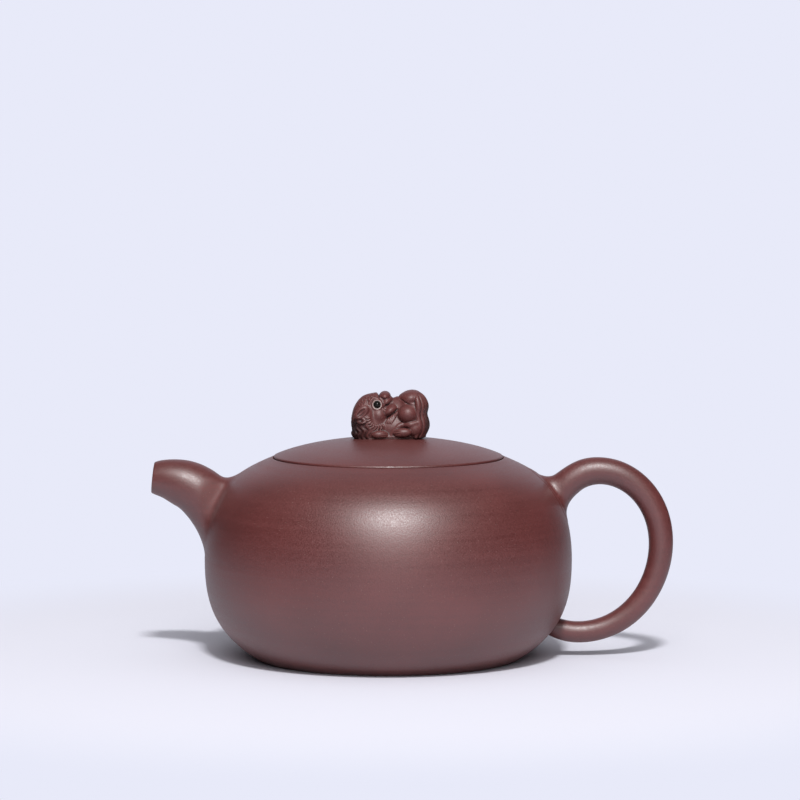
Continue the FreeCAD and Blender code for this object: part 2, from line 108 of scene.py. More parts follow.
# Clays, as they look once fired, with the depth of their tooth in millimetres
CLAY_INDEX = 1.52
BODY_CLAY = (0.132, 0.0278, 0.0256, 1.0)
BODY_CLAY_DEEP = (0.084, 0.0170, 0.0155, 1.0)
BODY_ROUGHNESS = 0.465
BODY_BURNISH = 1.0
BODY_TOOTH = 0.5
BODY_TOOTH_DEPTH = 0.08
FIGURE_CLAY = (0.135, 0.036, 0.034, 1.0)
FIGURE_CLAY_DEEP = (0.092, 0.023, 0.021, 1.0)
FIGURE_ROUGHNESS = 0.5
FIGURE_BURNISH = 0.6
FIGURE_TOOTH = 0.2
FIGURE_TOOTH_DEPTH = 0.03
EYE_BLACK = (0.010, 0.009, 0.008, 1.0)
EYE_BROWN = (0.040, 0.026, 0.018, 1.0)
EYE_ROUGHNESS = 0.16
EYE_BURNISH = 0.25
EYE_TOOTH = 0.05
EYE_TOOTH_DEPTH = 0.02

# The clays' pattern: cells to a metre, fineness, and shares in colour, roughness and tooth
MOTTLE_SCALE = 42.0
MOTTLE_DETAIL = 4.0
MOTTLE_SHARE = 0.35
STREAK_SCALE = (22.0, 22.0, 760.0)
STREAK_DETAIL = 3.0
STREAK_SHARE = 0.2
STREAK_ROUGHNESS = 0.02
STREAK_TOOTH = 0.25
GRAIN_SCALE = 2400.0
GRAIN_DETAIL = 2.0
GRAIN_SHARE = 0.45
GRAIN_ROUGHNESS = 0.06
COLOUR_SPREAD = (0.36, 0.64)
ROUGHNESS_SPREAD = (0.3, 0.7)
SAND_SCALE = 2300.0
SAND_SIZE = 0.28
PALE_SAND = (0.34, 0.19, 0.15, 1.0)
PALE_SAND_ABOVE = 0.955
PALE_SAND_COVER = 0.22
PALE_SAND_TOOTH = 0.5
DARK_SAND = (0.045, 0.022, 0.022, 1.0)
DARK_SAND_BELOW = 0.045
DARK_SAND_COVER = 0.6

# Where the spout's flanks run into the wall, the burnisher does not reach: middle and reach in millimetres
SPOUT_ROOT = (-48.5, 8.0, 45.5)
SPOUT_ROOT_REACH = (4.5, 6.0, 6.5)
DULL_SPREAD = (1.15, 0.7)
DULLNESS = 0.3

# Knob, in millimetres from the lid's top: x towards the handle, y away from the viewer, z up
LID_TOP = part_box("lid_disc")[1].z / MM
LID_DOME_R = 108.0
SINK = 0.2
GRID = 0.13
TINY = GRID / 100
BLOCK_LOW = (-11.6, -7.2, -1.0)
BLOCK_HIGH = (12.2, 0.0, 14.2)
MARGIN = 1.0
CURVE_STEPS = 6
LINE_SOFT = 0.12
SKIN_ROUNDS = 2
RUMP = (6.7, 0.0, 6.4)
CHEEK = (-2.7, -2.5, 6.1)

# The beast's lesser forms, in millimetres, with its curls turned in radians and the ruff's locks in degrees
TAIL_LEAN = 0.55
RUFF_FROM = 184
RUFF_TO = 300
RUFF_STEP = 14
BEARD_STRANDS = 4
CURL_TURN = (-1.0, 7.0)
CURL_POINTS = 9
CURL_CLOSED = 10.0
CURL_THICK = (0.22, 0.16)
EYE_LID_POINTS = 13
EYE_LID_REACH = 1.2
EYE_LID_THICK = 0.26
EYE_LID_BACK = 0.15
EYE_LID_LEAN = 0.25
SOCKET_OUT = 0.1

# Locks combed into the mane, round an upright line through it
MANE_X = -5.4
COMB_LOW = (-11.5, -7.0, -1.0)
COMB_HIGH = (-4.2, 0.0, 6.7)
COMB_OFF = (1.0, 2.0)
COMB_X = (-4.4, -5.6)
COMB_Z = (6.6, 5.2)
LOCKS_ROUND = 20.0
LOCK_DEPTH = 0.17
LOCK_SWAY = 1.9
LOCK_RISE = 2.1
LOCK_TWIST = 2.0

# Painted shade in the knob's creases, and raised forms made paler as rubbed wear and painted highlight, by
# its height over a smoothed copy as a share of RELIEF_FULL
RELIEF = "relief"
RELIEF_ROUNDS = 12
RELIEF_FULL = 0.12
CREVICE_SHADE = (0.020, 0.009, 0.009, 1.0)
CREVICE_SHADE_RELIEF = (-0.06, -0.6)
CREVICE_SHADE_COVER = 0.95
RUBBED_AND_HIGHLIGHT = (0.26, 0.105, 0.095, 1.0)
RUBBED_AND_HIGHLIGHT_RELIEF = (0.2, 0.9)
RUBBED_AND_HIGHLIGHT_COVER = 0.45

# Pale slip round the eyes, by the eye's radius, and thinner along the knob's foot, where it joins the lid
PALE_SLIP = "pale_slip"
RIM_SLIP = (0.40, 0.31, 0.29, 1.0)
EYE_SLIP = (1.36, 1.1)
EYE_SIDE = 2.0
FOOT_SLIP_COVER = 0.5
FOOT_SLIP_LIFT = (0.4, 0.2)
FOOT_SLIP_X = (-7.0, -4.0)

# Painted shade, low in the mane, more at its back, along the tail and round the foot
PAINTED_SHADE = "painted_shade"
MANE_SHADE_COVER = 0.5
MANE_SHADE_X = (-4.2, -8.0)
MANE_SHADE_Z = (6.4, 3.8)
NAPE_SHADE_COVER = 0.4
NAPE_SHADE_X = (-7.8, -9.4)
TAIL_SHADE_COVER = 0.85
TAIL_SHADE_X = (9.6, 11.2)
TAIL_SHADE_Z = (11.5, 7.5)
FOOT_SHADE_COVER = 0.5
FOOT_SHADE_Z = (0.9, 0.2)


def placed(name, data):
    """An object of the scene made from its data."""
    thing = bpy.data.objects.new(name, data)
    bpy.context.collection.objects.link(thing)
    return thing


# Shader nodes

class Tree:
    """A node tree, and the kinds of node that studio and clays share."""

    # A mix node keeps its colour sockets behind those for other kinds
    MIX_SHARE = 0
    MIX_UNDER = 6
    MIX_OVER = 7
    MIX_RESULT = 2

    def __init__(self, tree):
        self.tree = tree

    def node(self, kind, **settings):
        node = self.tree.nodes.new(kind)
        for key, value in settings.items():
            setattr(node, key, value)
        return node

    def feed(self, socket, source):
        """Gives a socket what another one puts out, or a plain value."""
        if isinstance(source, bpy.types.NodeSocket):
            self.tree.links.new(source, socket)
        else:
            socket.default_value = source

    def place(self, kind):
        return self.node("ShaderNodeTexCoord").outputs[kind]

    def scaled(self, place, scale, location=(0.0, 0.0, 0.0)):
        node = self.node("ShaderNodeMapping")
        self.feed(node.inputs["Vector"], place)
        self.feed(node.inputs["Scale"], scale)
        self.feed(node.inputs["Location"], location)
        return node.outputs["Vector"]

    def split(self, vector):
        """A vector's x, y and z."""
        node = self.node("ShaderNodeSeparateXYZ")
        self.feed(node.inputs["Vector"], vector)
        return node.outputs

    def length(self, vector):
        node = self.node("ShaderNodeVectorMath", operation="LENGTH")
        self.feed(node.inputs[0], vector)
        return node.outputs["Value"]

    def noise(self, place, scale, detail):
        node = self.node("ShaderNodeTexNoise")
        self.feed(node.inputs["Vector"], place)
        self.feed(node.inputs["Scale"], scale)
        self.feed(node.inputs["Detail"], detail)
        return node.outputs["Fac"]

    def maths(self, operation, *values):
        node = self.node("ShaderNodeMath", operation=operation)
        for socket, value in zip(node.inputs, values):
            self.feed(socket, value)
        return node.outputs["Value"]

    def total(self, first, *others):
        """The first value and the others, each of those with its share."""
        for value, share in others:
            first = self.maths("ADD", first, self.maths("MULTIPLY", value, share))
        return first

    def spread(self, value, limits, results=(0.0, 1.0), ease="LINEAR"):
        """Takes a value between two limits to the same place between two results."""
        node = self.node("ShaderNodeMapRange", interpolation_type=ease)
        for name, number in zip(("From Min", "From Max", "To Min", "To Max"), (*limits, *results)):
            self.feed(node.inputs[name], number)
        self.feed(node.inputs["Value"], value)
        return node.outputs["Result"]

    def mixed(self, share, under, over):
        """One colour over another, by share."""
        node = self.node("ShaderNodeMix", data_type="RGBA")
        self.feed(node.inputs[self.MIX_SHARE], share)
        self.feed(node.inputs[self.MIX_UNDER], under)
        self.feed(node.inputs[self.MIX_OVER], over)
        return node.outputs[self.MIX_RESULT]

    def shader(self, kind, **values):
        node = self.node(kind)
        for name, value in values.items():
            self.feed(node.inputs[name], value)
        return node.outputs[0]

    def show(self, kind, share, under, over):
        """Puts out one shader over another, by share."""
        mix, out = self.node("ShaderNodeMixShader"), self.node(kind)
        for socket, source in zip(mix.inputs, (share, under, over)):
            self.feed(socket, source)
        self.feed(out.inputs["Surface"], mix.outputs[0])

    def rays(self):
        """Masks of the camera's rays alone, and of those with what is mirrored or seen through something."""
        ray = self.node("ShaderNodeLightPath").outputs
        mirrored = self.maths("MAXIMUM", ray["Is Glossy Ray"], ray["Is Transmission Ray"])
        return ray["Is Camera Ray"], self.maths("MAXIMUM", ray["Is Camera Ray"], mirrored)


class Group(Tree):
    """A shader node group with named sockets."""

    def __init__(self, name):
        super().__init__(bpy.data.node_groups.new(name, "ShaderNodeTree"))
        self.start = self.node("NodeGroupInput")
        self.end = self.node("NodeGroupOutput")

    def takes(self, name, kind, value):
        socket = self.tree.interface.new_socket(name, in_out="INPUT", socket_type=kind)
        socket.default_value = value

    def gives(self, name, kind, source):
        self.tree.interface.new_socket(name, in_out="OUTPUT", socket_type=kind)
        self.feed(self.end.inputs[name], source)


# Studio

def place_camera():
    data = bpy.data.cameras.new("view")
    data.lens = VIEW_LENS
    data.sensor_width = SENSOR_WIDTH
    camera = placed("view", data)
    camera.location = VIEW_FROM
    camera.rotation_euler = (VIEW_AT - VIEW_FROM).to_track_quat("-Z", "Y").to_euler()
    bpy.context.scene.camera = camera


def hang_lamp(name, elevation, distance, size, power):
    """A lamp in front of the pot, facing its foot."""
    up, round_ = math.radians(elevation), math.radians(LAMP_AZIMUTH)
    towards = Vector((math.sin(round_) * math.cos(up), -math.cos(round_) * math.cos(up), math.sin(up)))
    data = bpy.data.lights.new(name, "AREA")
    data.shape = "RECTANGLE"
    data.size, data.size_y = size
    data.energy = power
    lamp = placed(name, data)
    lamp.location = towards * distance
    lamp.rotation_euler = (-towards).to_track_quat("-Z", "Y").to_euler()


def paint_surroundings():
    """A backdrop that is all round to the eye but behind the pot in its shine, and light from above."""
    world = bpy.data.worlds.new("surroundings")
    world.use_nodes = True
    world.node_tree.nodes.clear()
    tree = Tree(world.node_tree)
    x, y, z = tree.split(tree.place("Generated"))
    camera, shown = tree.rays()
    behind = tree.spread(y, BACKDROP_BEHIND, ease="SMOOTHSTEP")
    aside = tree.spread(tree.maths("ABSOLUTE", x), BACKDROP_ASIDE, ease="SMOOTHSTEP")
    backdrop = tree.maths("MAXIMUM", camera, tree.maths("MULTIPLY", behind, aside))
    upwards = tree.spread(z, FILL_UP, ease="SMOOTHSTEP")
    fill = tree.shader("ShaderNodeBackground", Color=FILL_COLOUR, Strength=upwards)
    around = tree.shader("ShaderNodeBackground", Color=tree.mixed(backdrop, ROOM_COLOUR, BACKDROP_COLOUR))
    tree.show("ShaderNodeOutputWorld", shown, fill, around)
    bpy.context.scene.world = world


def floor_paper():
    """Pale paper that keeps the shadow and runs into the backdrop's colour away from the pot."""
    material = bpy.data.materials.new("floor_paper")
    material.use_nodes = True
    material.node_tree.nodes.clear()
    tree = Tree(material.node_tree)
    fade = tree.spread(tree.length(tree.place("Object")), FLOOR_FADE, ease="SMOOTHSTEP")
    shown = tree.rays()[1]
    paper = tree.shader("ShaderNodeBsdfDiffuse", Color=FLOOR_COLOUR)
    backdrop = tree.shader("ShaderNodeEmission", Color=BACKDROP_COLOUR)
    tree.show("ShaderNodeOutputMaterial", tree.maths("MULTIPLY", fade, shown), paper, backdrop)
    return material


def lay_floor():
    """A long oval sheet of paper under the pot, wider than its shadow."""
    narrow = FLOOR_HALF_WIDTH / FLOOR_HALF_LENGTH
    angles = np.linspace(0.0, 2 * math.pi, FLOOR_SPOKES, endpoint=False)
    radii = FLOOR_HALF_LENGTH * (np.arange(1, FLOOR_RINGS + 1) / FLOOR_RINGS) ** 2
    points = [(0.0, 0.0, 0.0)]
    points += [(narrow * r * math.cos(a), r * math.sin(a), 0.0) for r in radii for a in angles]
    faces = []
    for k in range(FLOOR_SPOKES):
        after = (k + 1) % FLOOR_SPOKES
        faces.append((0, 1 + k, 1 + after))
        for ring in range(FLOOR_RINGS - 1):
            near, far = 1 + ring * FLOOR_SPOKES, 1 + (ring + 1) * FLOOR_SPOKES
            faces.append((near + k, far + k, far + after, near + after))
    mesh = bpy.data.meshes.new("floor")
    mesh.from_pydata(points, [], faces)
    mesh.materials.append(floor_paper())
    floor = placed("floor", mesh)


# Clays

def fired_clay_group():
    """Unglazed stoneware: mottled colour, sand grains of two colours, wiping streaks and a fine tooth."""
    group = Group("fired_clay")
    group.takes("Clay", "NodeSocketColor", BODY_CLAY)
    group.takes("Deep Clay", "NodeSocketColor", BODY_CLAY_DEEP)
    group.takes("Pale Sand", "NodeSocketColor", PALE_SAND)
    group.takes("Dark Sand", "NodeSocketColor", DARK_SAND)
    group.takes("Roughness", "NodeSocketFloat", BODY_ROUGHNESS)
    clay = group.start.outputs
    place = group.place("Object")
    mottle = group.noise(place, MOTTLE_SCALE, MOTTLE_DETAIL)
    streak = group.noise(group.scaled(place, STREAK_SCALE), 1.0, STREAK_DETAIL)
    grain = group.noise(place, GRAIN_SCALE, GRAIN_DETAIL)
    sand = group.node("ShaderNodeTexVoronoi")
    group.feed(sand.inputs["Vector"], place)
    group.feed(sand.inputs["Scale"], SAND_SCALE)
    chances = group.node("ShaderNodeSeparateColor")
    group.feed(chances.inputs["Color"], sand.outputs["Color"])
    chance = chances.outputs["Red"]
    dot = group.maths("LESS_THAN", sand.outputs["Distance"], SAND_SIZE)
    pale = group.maths("MULTIPLY", dot, group.maths("GREATER_THAN", chance, PALE_SAND_ABOVE))
    dark = group.maths("MULTIPLY", dot, group.maths("LESS_THAN", chance, DARK_SAND_BELOW))

    mottled = group.maths("MULTIPLY", mottle, MOTTLE_SHARE)
    cloud = group.total(mottled, (streak, STREAK_SHARE), (grain, GRAIN_SHARE))
    colour = group.mixed(group.spread(cloud, COLOUR_SPREAD), clay["Deep Clay"], clay["Clay"])
    colour = group.mixed(group.maths("MULTIPLY", pale, PALE_SAND_COVER), colour, clay["Pale Sand"])
    colour = group.mixed(group.maths("MULTIPLY", dark, DARK_SAND_COVER), colour, clay["Dark Sand"])
    wiped = group.spread(streak, ROUGHNESS_SPREAD, (-STREAK_ROUGHNESS, STREAK_ROUGHNESS))
    grainy = group.spread(grain, ROUGHNESS_SPREAD, (-GRAIN_ROUGHNESS, GRAIN_ROUGHNESS))
    roughness = group.maths("ADD", clay["Roughness"], group.maths("ADD", wiped, grainy))
    tooth = group.total(grain, (streak, STREAK_TOOTH), (pale, PALE_SAND_TOOTH))
    group.gives("Colour", "NodeSocketColor", colour)
    group.gives("Roughness", "NodeSocketFloat", roughness)
    group.gives("Tooth", "NodeSocketFloat", tooth)
    return group.tree


FIRED_CLAY = fired_clay_group()


class Finish(Tree):
    """A material: one clay group, one shader and what lies between them."""

    def __init__(self, name, burnish, **values):
        self.material = bpy.data.materials.new(name)
        self.material.use_nodes = True
        super().__init__(self.material.node_tree)
        self.surface = self.tree.nodes["Principled BSDF"].inputs
        self.feed(self.surface["Specular IOR Level"], burnish)
        group = self.node("ShaderNodeGroup", node_tree=FIRED_CLAY)
        for key, value in values.items():
            self.feed(group.inputs[key.replace("_", " ").title()], value)
        self.colour, self.roughness, self.tooth = group.outputs

    def over(self, share, colour):
        """Lays a colour over what is there, by share."""
        self.colour = self.mixed(share, self.colour, colour)

    def carried(self, name):
        """A value that the mesh carries at its points."""
        return self.node("ShaderNodeAttribute", attribute_name=name).outputs["Fac"]

    def dull(self, middle, reach):
        """Leaves the clay matt round a place and its mirror across y."""
        x, y, z = self.split(self.place("Object"))
        near = self.node("ShaderNodeCombineXYZ")
        for socket, source in zip(near.inputs, (x, self.maths("ABSOLUTE", y), z)):
            self.feed(socket, source)
        scale = [1 / (MM * r) for r in reach]
        location = [-m / r for m, r in zip(middle, reach)]
        off = self.length(self.scaled(near.outputs["Vector"], scale, location))
        self.roughness = self.maths("ADD", self.spread(off, DULL_SPREAD, (0.0, DULLNESS)), self.roughness)

    def done(self, strength, depth):
        bump = self.node("ShaderNodeBump")
        self.feed(bump.inputs["Strength"], strength)
        self.feed(bump.inputs["Distance"], depth * MM)
        self.feed(bump.inputs["Height"], self.tooth)
        self.feed(self.surface["Normal"], bump.outputs["Normal"])
        self.feed(self.surface["Base Color"], self.colour)
        self.feed(self.surface["Roughness"], self.roughness)
        return self.material


def purple_clay():
    """The pot's and the lid's clay, burnished by wiping."""
    finish = Finish(
        "purple_clay", BODY_BURNISH, clay=BODY_CLAY, deep_clay=BODY_CLAY_DEEP, roughness=BODY_ROUGHNESS,
    )
    finish.feed(finish.surface["IOR"], CLAY_INDEX)
    finish.dull(SPOUT_ROOT, SPOUT_ROOT_REACH)
    return finish.done(BODY_TOOTH, BODY_TOOTH_DEPTH)


def figure_clay():
    """The knob's clay: the same body, with painted shade in its creases and in the mane, tail and foot, and
    its raised forms paler from rubbed wear and painted highlight.
    """
    finish = Finish(
        "figure_clay", FIGURE_BURNISH, clay=FIGURE_CLAY, deep_clay=FIGURE_CLAY_DEEP,
        roughness=FIGURE_ROUGHNESS,
    )
    finish.feed(finish.surface["IOR"], CLAY_INDEX)
    relief = finish.carried(RELIEF)
    # Painted shade in the creases, and painted highlight with rubbed wear on the raised forms, by the relief
    # the mesh carries
    finish.over(finish.spread(relief, CREVICE_SHADE_RELIEF, (0.0, CREVICE_SHADE_COVER)), CREVICE_SHADE)
    finish.over(finish.spread(relief, RUBBED_AND_HIGHLIGHT_RELIEF, (0.0, RUBBED_AND_HIGHLIGHT_COVER)), RUBBED_AND_HIGHLIGHT)
    finish.over(finish.carried(PALE_SLIP), RIM_SLIP)
    # Painted shade low in the mane, along the tail's back and round the knob's foot
    finish.over(finish.carried(PAINTED_SHADE), CREVICE_SHADE)
    return finish.done(FIGURE_TOOTH, FIGURE_TOOTH_DEPTH)


def black_eye_clay():
    """The eyes' black slip, glossy, with a few brown grains."""
    finish = Finish(
        "black_eye_clay", EYE_BURNISH, clay=EYE_BLACK, deep_clay=EYE_BLACK, pale_sand=EYE_BROWN,
        dark_sand=EYE_BLACK, roughness=EYE_ROUGHNESS,
    )
    return finish.done(EYE_TOOTH, EYE_TOOTH_DEPTH)


# Beast knob: the shapes it is modelled with

def oval(centre, half, tilt=0.0, turn=0.0):
    """An egg of clay, tilted up about y and turned about z: its low and high corners and its distance."""
    reach = max(half)
    up, round_ = math.radians(tilt), math.radians(turn)

    def distance(x, y, z):
        x, y, z = x - centre[0], y - centre[1], z - centre[2]
        x, y = x * math.cos(round_) + y * math.sin(round_), y * math.cos(round_) - x * math.sin(round_)
        x, z = x * math.cos(up) + z * math.sin(up), z * math.cos(up) - x * math.sin(up)
        a, b, c = half
        near = np.sqrt((x / a) ** 2 + (y / b) ** 2 + (z / c) ** 2)
        steep = np.sqrt((x / a ** 2) ** 2 + (y / b ** 2) ** 2 + (z / c ** 2) ** 2)
        return near * (near - 1.0) / np.maximum(steep, TINY)

    return [p - reach for p in centre], [p + reach for p in centre], distance


def smooth_run(points):
    """Points of an even curve through the given ones."""
    points = np.array([points[0], *points, points[-1]], float)
    run = []
    for a, b, c, d in zip(points, points[1:], points[2:], points[3:]):
        for t in np.arange(CURVE_STEPS) / CURVE_STEPS:
            pull = (2 * a - 5 * b + 4 * c - d) * t ** 2 + (3 * b - a - 3 * c + d) * t ** 3
            run.append(b + ((c - a) * t + pull) / 2)
    return np.array([*run, points[-1]])


def strand(points, radii):
    """A rolled strand along a smooth curve through the points, thick by the radii given at them."""
    run = smooth_run([(*p, r) for p, r in zip(points, radii)])
    spots, thick = run[:, :3], run[:, 3]

    def distance(x, y, z):
        best = np.inf
        for p, q, r0, r1 in zip(spots, spots[1:], thick, thick[1:]):
            way = q - p
            t = ((x - p[0]) * way[0] + (y - p[1]) * way[1] + (z - p[2]) * way[2]) / way.dot(way)
            t = np.clip(t, 0.0, 1.0)
            off = (x - p[0] - way[0] * t) ** 2 + (y - p[1] - way[1] * t) ** 2 + (z - p[2] - way[2] * t) ** 2
            best = np.minimum(best, np.sqrt(off) - (r0 + (r1 - r0) * t))
        return best

    return (spots - thick[:, None]).min(axis=0), (spots + thick[:, None]).max(axis=0), distance


def ramp(value, limits):
    """Eased from 0 at the first limit to 1 at the second."""
    start, full = limits
    t = np.clip((value - start) / (full - start), 0.0, 1.0)
    return t * t * (3.0 - 2.0 * t)


def lid_face(x, y):
    """How high the lid's domed face lies, from its top down."""
    return -(x ** 2 + y ** 2) / (2 * LID_DOME_R)


class Clay:
    """The block that the knob's near half is modelled from: each cell's distance from the clay's skin."""

    def __init__(self):
        self.axes = [
            np.arange(BLOCK_LOW[0], BLOCK_HIGH[0], GRID),
            np.arange(GRID / 2, BLOCK_HIGH[1] - BLOCK_LOW[1], GRID)[::-1] * -1.0,
            np.arange(BLOCK_LOW[2], BLOCK_HIGH[2], GRID),
        ]
        self.skin = np.full([len(axis) for axis in self.axes], BLOCK_HIGH[0], np.float32)

    def part(self, low, high, margin):
        """The cells round a shape, with their places."""
        cells = []
        for axis, a, b in zip(self.axes, low, high):
            first, last = np.searchsorted(axis, (a - margin, b + margin))
            cells.append(slice(max(0, first - 1), last + 1))
        x, y, z = (axis[cell] for axis, cell in zip(self.axes, cells))
        return tuple(cells), x[:, None, None], y[None, :, None], z[None, None, :]

    def press(self, shape, soft):
        """Presses a shape on, with a soft join."""
        low, high, distance = shape
        cells, x, y, z = self.part(low, high, soft + MARGIN)
        old, new = self.skin[cells], distance(x, y, z)
        share = np.clip(0.5 + (new - old) / (2 * soft), 0.0, 1.0)
        self.skin[cells] = new + (old - new) * share - soft * share * (1.0 - share)

    def carve(self, shape, soft):
        """Takes a shape away, with a soft edge."""
        low, high, distance = shape
        cells, x, y, z = self.part(low, high, soft + MARGIN)
        old, new = self.skin[cells], -distance(x, y, z)
        share = np.clip(0.5 - (new - old) / (2 * soft), 0.0, 1.0)
        self.skin[cells] = new + (old - new) * share + soft * share * (1.0 - share)

    def face(self, x, z):
        """The y of the near face at x and z."""
        i, k = (int(round((v - axis[0]) / GRID)) for v, axis in ((x, self.axes[0]), (z, self.axes[2])))
        column = self.skin[i, :, k]
        j = max(1, int((column < 0).argmax()))
        return self.axes[1][j] - GRID * column[j] / (column[j] - column[j - 1])

    def on_face(self, line, lift):
        """A line of (x, z) laid on the near face, lifted off it towards the viewer."""
        return [(x, self.face(x, z) - lift, z) for x, z in line]

    def draw(self, line, radii, soft=LINE_SOFT, lift=0.0):
        """Lays a strand along a line of (x, z) on the near face."""
        self.press(strand(self.on_face(line, lift), radii), soft)

    def score(self, line, radii, soft=LINE_SOFT):
        """Cuts a groove along a line of (x, z) on the near face."""
        self.carve(strand(self.on_face(line, 0.0), radii), soft)

    def comb(self, low, high, depth):
        """Moves the skin in by a depth worked out from the place."""
        cells, x, y, z = self.part(low, high, 0.0)
        self.skin[cells] += depth(x, y, z)


# Beast knob: its forms, by middle and half sizes or by points and radii

def model_body(clay):
    """The plinth that the beast lies on, and its chest, belly, back, loins and rump."""
    plinth = oval((0.4, 0.0, 0.4), (10.2, 5.2, 1.5))
    chest = oval((-4.8, 0.0, 2.6), (5.0, 5.3, 5.2))
    belly = oval((1.5, 0.0, 2.6), (7.2, 4.9, 4.6))
    back = oval((3.2, 0.0, 6.0), (3.4, 3.7, 4.4))
    loins = strand([(0.4, 0.0, 8.5), (3.0, 0.0, 8.9), (5.5, 0.0, 9.6)], (2.2, 2.6, 3.2))
    rump = oval(RUMP, (3.9, 4.9, 6.3))
    clay.press(plinth, soft=0.3)
    clay.press(chest, soft=0.8)
    clay.press(belly, soft=1.0)
    clay.press(back, soft=1.0)
    clay.press(loins, soft=0.8)
    clay.press(rump, soft=1.0)


def model_mane(clay):
    """The mass behind the head, combed into wavy locks, and its lowest lock lying on the lid."""
    mass = oval((-6.4, 0.0, 4.9), (3.85, 5.5, 6.2))
    lowest_lock = oval((-7.6, 0.0, 1.2), (2.6, 4.2, 1.4))
    clay.press(mass, soft=0.8)
    clay.press(lowest_lock, soft=0.5)

    def locks(x, y, z):
        round_ = np.arctan2(y, MANE_X - x)
        sway = LOCK_SWAY * np.sin(LOCK_RISE * z + LOCK_TWIST * round_)
        waves = np.cos(LOCKS_ROUND * round_ + sway)
        outwards = ramp(np.hypot(x - MANE_X, y), COMB_OFF)
        return -LOCK_DEPTH * waves * outwards * ramp(x, COMB_X) * ramp(z, COMB_Z)

    clay.comb(COMB_LOW, COMB_HIGH, locks)


def model_hindquarters(clay):
    """The hip's pillow, the round haunch, the hock and the folded leg."""
    hip = oval((6.2, 0.0, 10.9), (3.3, 4.3, 2.35), tilt=14.0)
    hip_front = strand([(3.1, -4.0, 10.6), (2.85, -2.4, 11.4), (2.75, 0.0, 11.75)], (0.3, 0.3, 0.3))
    hip_crease = [(3.2, 11.0), (4.2, 10.3), (5.2, 9.7), (6.6, 9.3), (7.5, 9.2)]
    haunch = oval((5.4, -3.7, 6.7), (2.65, 2.5, 2.5))
    hock = oval((7.3, -3.9, 2.7), (2.2, 1.8, 2.1))
    leg = [(8.2, 4.4), (6.2, 3.9), (4.4, 3.9), (2.9, 3.4), (1.6, 2.2), (0.9, 1.2)]
    clay.press(hip, soft=0.3)
    clay.carve(hip_front, soft=0.25)
    clay.score(hip_crease, (0.16, 0.22, 0.22, 0.2, 0.1))
    clay.press(haunch, soft=0.4)
    clay.press(hock, soft=0.35)
    clay.draw(leg, (0.8, 0.9, 0.8, 0.7, 0.55, 0.4), soft=0.3, lift=-0.2)


def model_feet(clay):
    """The hind foot and the forepaw, each with its toes parted."""
    hind_foot = oval((3.9, -5.2, 1.7), (2.6, 1.35, 1.3), tilt=4.0, turn=-6.0)
    hind_toes = ([(1.6, 1.9), (2.5, 2.2), (3.3, 2.1)], [(1.6, 1.2), (2.6, 1.4), (3.5, 1.4)])
    forepaw = oval((-2.3, -4.9, 1.1), (2.3, 1.35, 1.2), turn=8.0)
    fore_toes = ([(-0.4, 1.5), (-1.2, 1.6), (-2.0, 1.5)], [(-0.4, 0.9), (-1.3, 1.0), (-2.2, 1.0)])
    toe_cut = (0.2, 0.16, 0.05)
    for foot, toes, soft in ((hind_foot, hind_toes, 0.15), (forepaw, fore_toes, 0.2)):
        clay.press(foot, soft)
        for line in toes:
            clay.score(line, toe_cut)


def model_head(clay):
    """Skull, face, cheek, upper lip, lower jaw and the round nose, then the mouth and the nostrils."""
    skull = oval((-5.1, 0.0, 8.35), (3.7, 3.6, 3.8))
    face = oval((-3.3, 0.0, 8.0), (4.9, 4.1, 4.5), tilt=25.0)
    cheek = oval(CHEEK, (2.3, 2.3, 2.3))
    upper_lip = oval((-0.55, 0.0, 10.1), (2.0, 3.7, 1.45), tilt=33.0)
    lower_jaw = oval((0.35, 0.0, 7.6), (2.9, 4.7, 1.7), tilt=33.0)
    bridge = strand([(-2.6, -4.6, 11.4), (-2.6, -2.6, 12.3), (-2.6, 0.0, 12.6)], (0.5, 0.5, 0.5))
    nose = oval((-0.95, 0.0, 11.5), (1.65, 3.7, 1.45), tilt=6.0)
    clay.press(skull, soft=0.5)
    clay.press(face, soft=0.5)
    clay.press(cheek, soft=0.7)
    clay.press(upper_lip, soft=0.3)
    clay.press(lower_jaw, soft=0.3)
    clay.carve(bridge, soft=0.3)
    clay.press(nose, soft=0.08)

    nose_crease = [(-2.65, 12.2), (-2.55, 11.4), (-2.0, 10.7)]
    mouth = [(-1.6, 8.3), (-0.9, 8.85), (-0.2, 9.3), (0.9, 10.2)]
    nostril = [(-2.0, 11.35), (-1.2, 11.0), (-0.4, 11.1)]
    jaw_crease = [(2.6, 8.1), (1.3, 6.75), (0.1, 5.95), (-0.9, 5.4)]
    mouth_corner = [(-0.9, 7.5), (-1.2, 7.9), (-1.5, 8.2)]
    clay.score(nose_crease, (0.12, 0.24, 0.14))
    clay.score(mouth, (0.12, 0.3, 0.36, 0.3))
    clay.score(nostril, (0.12, 0.26, 0.14))
    clay.score(jaw_crease, (0.3, 0.3, 0.25, 0.1))
    clay.draw(mouth_corner, (0.22, 0.3, 0.2))


def eye_place():
    """The near eye's x, z and radius."""
    low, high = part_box("beast_eye_left")
    middle = (low + high) / 2 / MM
    return middle.x, middle.z - LID_TOP, (high.x - low.x) / 2 / MM


def model_eye_rim(clay):
    """A raised lid all round the eye, set back further at its top, and the socket that the eye sits in."""
    x, z, radius = eye_place()
    y = clay.face(x, z)
    rim = EYE_LID_REACH * radius
    ring = []
    for turn in np.linspace(0.0, 2 * math.pi, EYE_LID_POINTS):
        across, up = math.cos(turn), math.sin(turn)
        ring.append((x + rim * across, y + EYE_LID_BACK + EYE_LID_LEAN * up, z + rim * up))
    clay.press(strand(ring, [EYE_LID_THICK] * EYE_LID_POINTS), soft=0.2)
    clay.carve(oval((x, y - SOCKET_OUT, z), (radius, radius, radius)), soft=0.08)


